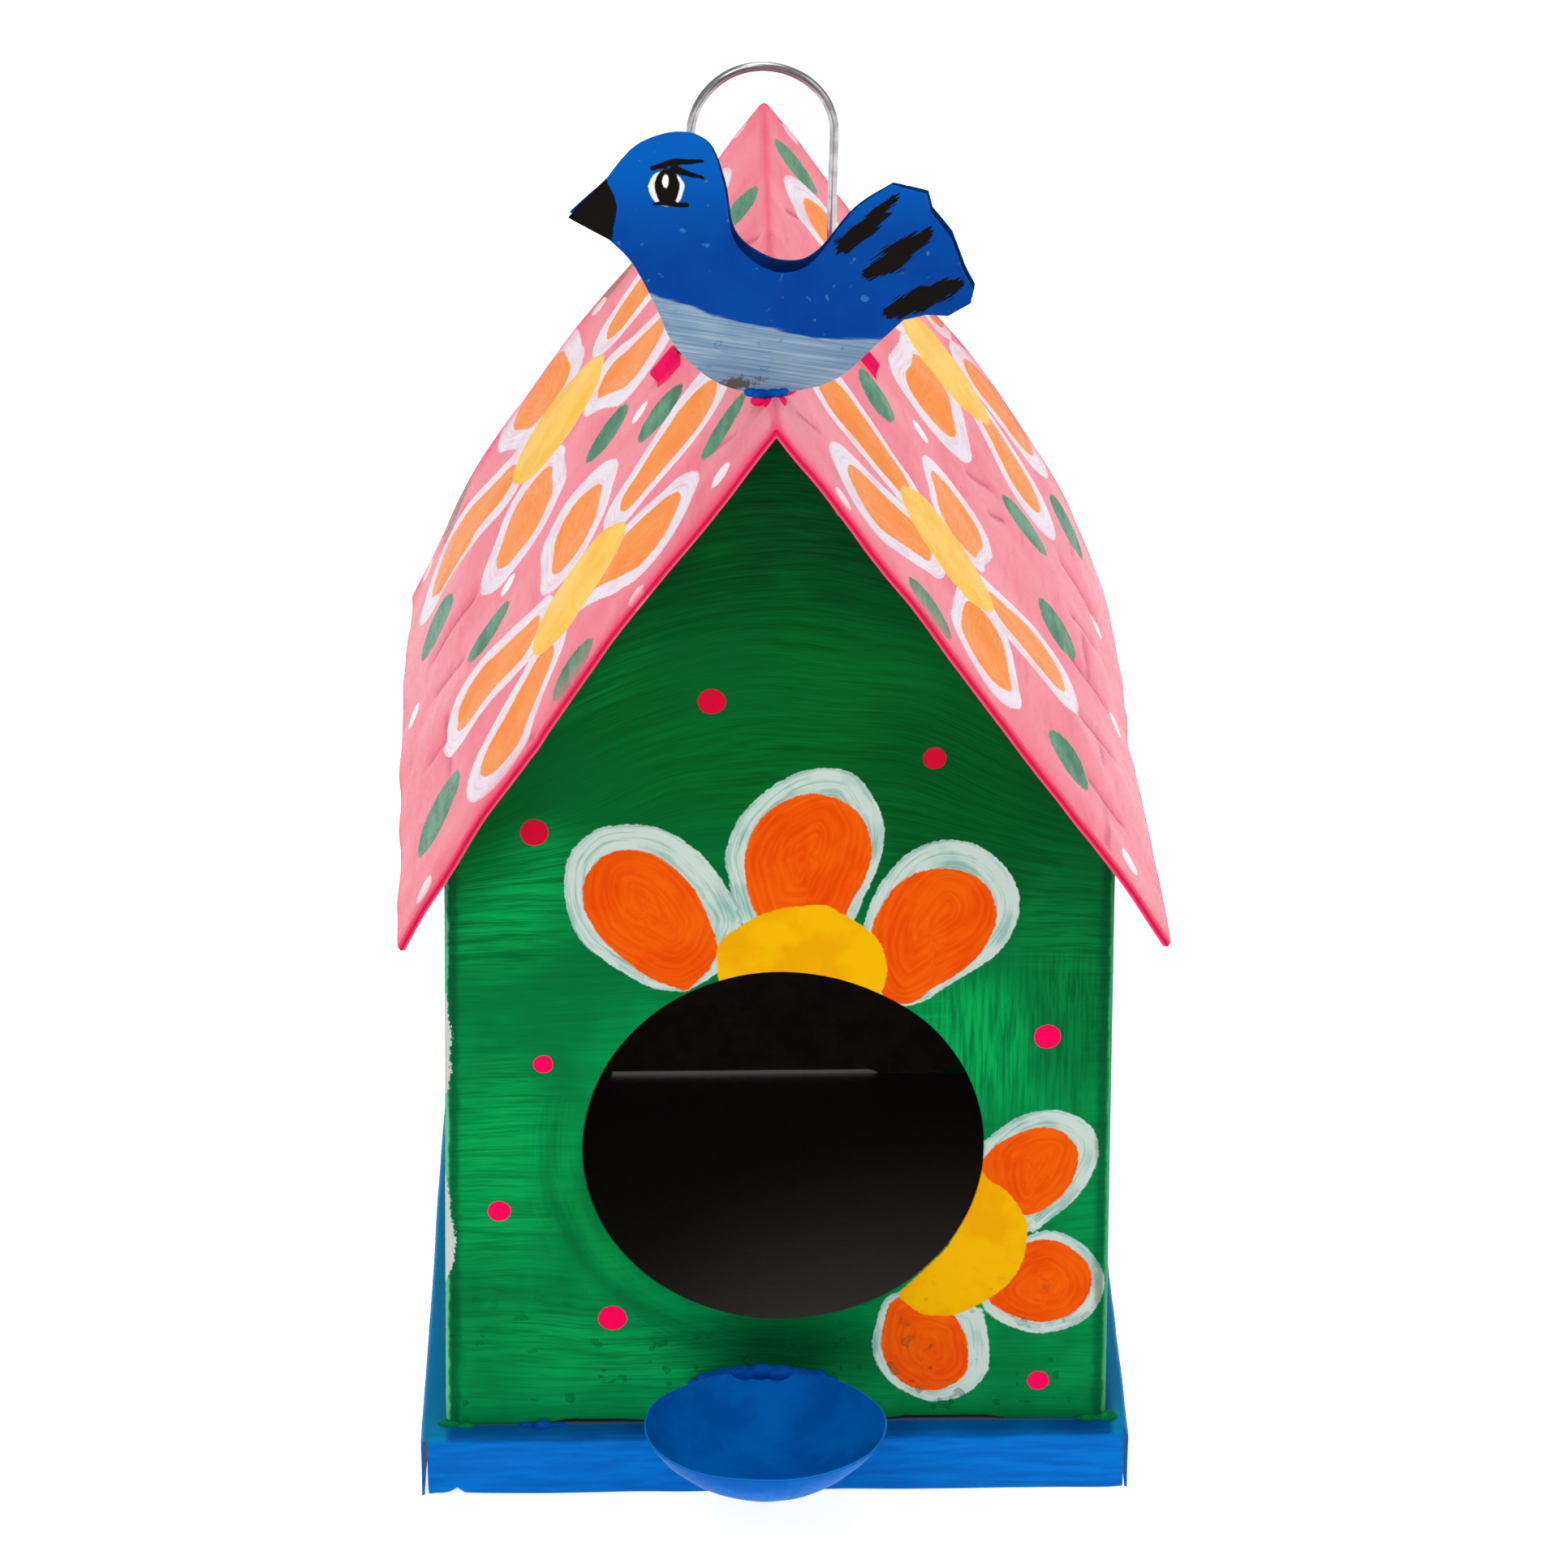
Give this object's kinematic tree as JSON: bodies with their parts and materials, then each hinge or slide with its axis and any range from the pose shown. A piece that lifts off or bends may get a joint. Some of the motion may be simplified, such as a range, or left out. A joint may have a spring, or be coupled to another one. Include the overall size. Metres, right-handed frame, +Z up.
{
  "type": "birdhouse",
  "caption": "Painted sheet-metal birdhouse with a folded gable roof, round entrance, feeder dish, wire hanger and a cut-out bird on the ridge.",
  "frame": {"origin": "centre of the base tray, in the plane of its lip edges, which the birdhouse stands on", "axes": "+Z up; -Y is the front, with the entrance hole and the dish; +X is to the right of someone who faces the front, and the bird's beak points to -X"},
  "size_m": [0.16, 0.2212, 0.3049],
  "materials": {
    "blue_paint": "satin hand-brushed enamel",
    "green_paint": "satin hand-brushed enamel with painted flowers",
    "pink_paint": "satin hand-brushed enamel with painted flowers",
    "bird_paint": "satin hand-brushed enamel with a painted eye, beak and tail",
    "magenta_paint": "satin enamel over solder",
    "galvanised_wire": "drawn zinc-coated wire",
    "bare_solder": "dull tin solder"
  },
  "bodies": {
    "root": {"base_tray": "blue_paint", "house_shell": "green_paint", "back_wall": "green_paint", "roof": "pink_paint", "bird_front": "bird_paint", "bird_back": "bird_paint", "bird_solder": "magenta_paint", "hanger_wire": "galvanised_wire", "hanger_tab_left": "magenta_paint", "hanger_tab_right": "magenta_paint", "feeder_dish": "blue_paint", "dish_solder": "blue_paint", "wall_base_solder": "green_paint", "wall_seam_solder": "bare_solder", "roof_solder": "bare_solder"}
  },
  "joints": []
}
